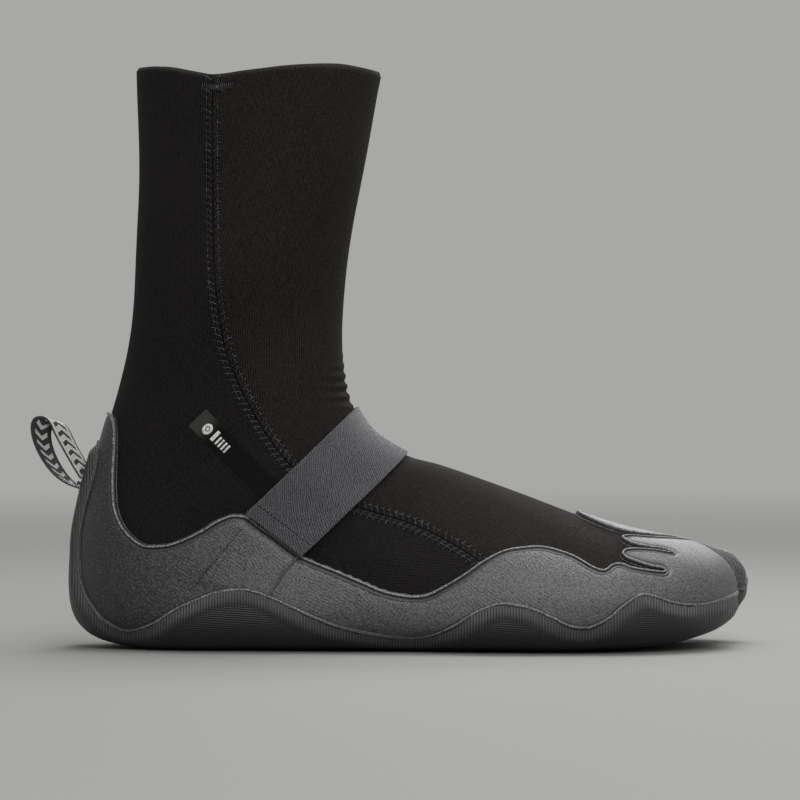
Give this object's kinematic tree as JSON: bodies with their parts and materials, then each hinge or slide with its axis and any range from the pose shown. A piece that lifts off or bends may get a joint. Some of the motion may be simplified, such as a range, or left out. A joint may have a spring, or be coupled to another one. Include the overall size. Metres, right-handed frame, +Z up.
{
  "type": "neoprene water sports boot",
  "caption": "Ankle-high split-toe neoprene boot for the right foot, with moulded rubber foot, wrapped outsole, instep strap and heel pull loop.",
  "frame": {"origin": "middle of the underside of the overall box, on the plane the boot stands on", "axes": "+X to the toe, +Z up the leg, +Y to the big-toe side"},
  "size_m": [0.3108, 0.11, 0.2465],
  "materials": {
    "neoprene": "knit-faced neoprene, matt",
    "jersey": "knitted lining, matt",
    "foam": "foam footbed, matt",
    "rubber": "moulded rubber, fine grain, satin",
    "sole_rubber": "moulded rubber, ribbed, satin",
    "thread": "flat stitching, matt",
    "strap_webbing": "napped loop fabric, matt",
    "loop_fabric": "hook and loop tape, matt",
    "satin_tape": "woven satin tape",
    "ribbon": "woven ribbon"
  },
  "bodies": {
    "boot": {"front_panel": "neoprene", "rear_panel": "neoprene", "bottom_panel": "neoprene", "toe_gusset": "neoprene", "lining": "jersey", "insole": "foam", "outer_seam": "thread", "inner_seam": "thread", "outer_bar_tack": "thread", "inner_bar_tack": "thread", "rubber_foot": "rubber", "outer_strap_anchor": "loop_fabric", "inner_strap_anchor": "loop_fabric", "outsole": "sole_rubber", "strap_inner": "strap_webbing", "size_label": "satin_tape", "pull_loop_tail": "ribbon"},
    "crown": {"strap_crown": "strap_webbing"},
    "tab": {"strap_tab": "strap_webbing", "hook_patch": "loop_fabric", "hem_thread": "thread"},
    "pull": {"pull_loop": "ribbon"}
  },
  "joints": [
    {"name": "strap_lift", "type": "hinge", "parent": "boot", "child": "crown", "pos_m": [-0.00689, 0.02465, 0.08736], "axis": [-0.7033, 0, 0.7109], "range_deg": [0, 75]},
    {"name": "strap_peel", "type": "hinge", "parent": "crown", "child": "tab", "pos_m": [-0.00536, -0.01935, 0.08873], "axis": [-0.7277, 0, 0.6859], "range_deg": [0, 120]},
    {"name": "pull_swing", "type": "hinge", "parent": "boot", "child": "pull", "pos_m": [-0.13858, 0.00165, 0.07266], "axis": [0, 1, 0], "range_deg": [-80, 20], "stiffness_Nm_per_rad": 0.002}
  ]
}
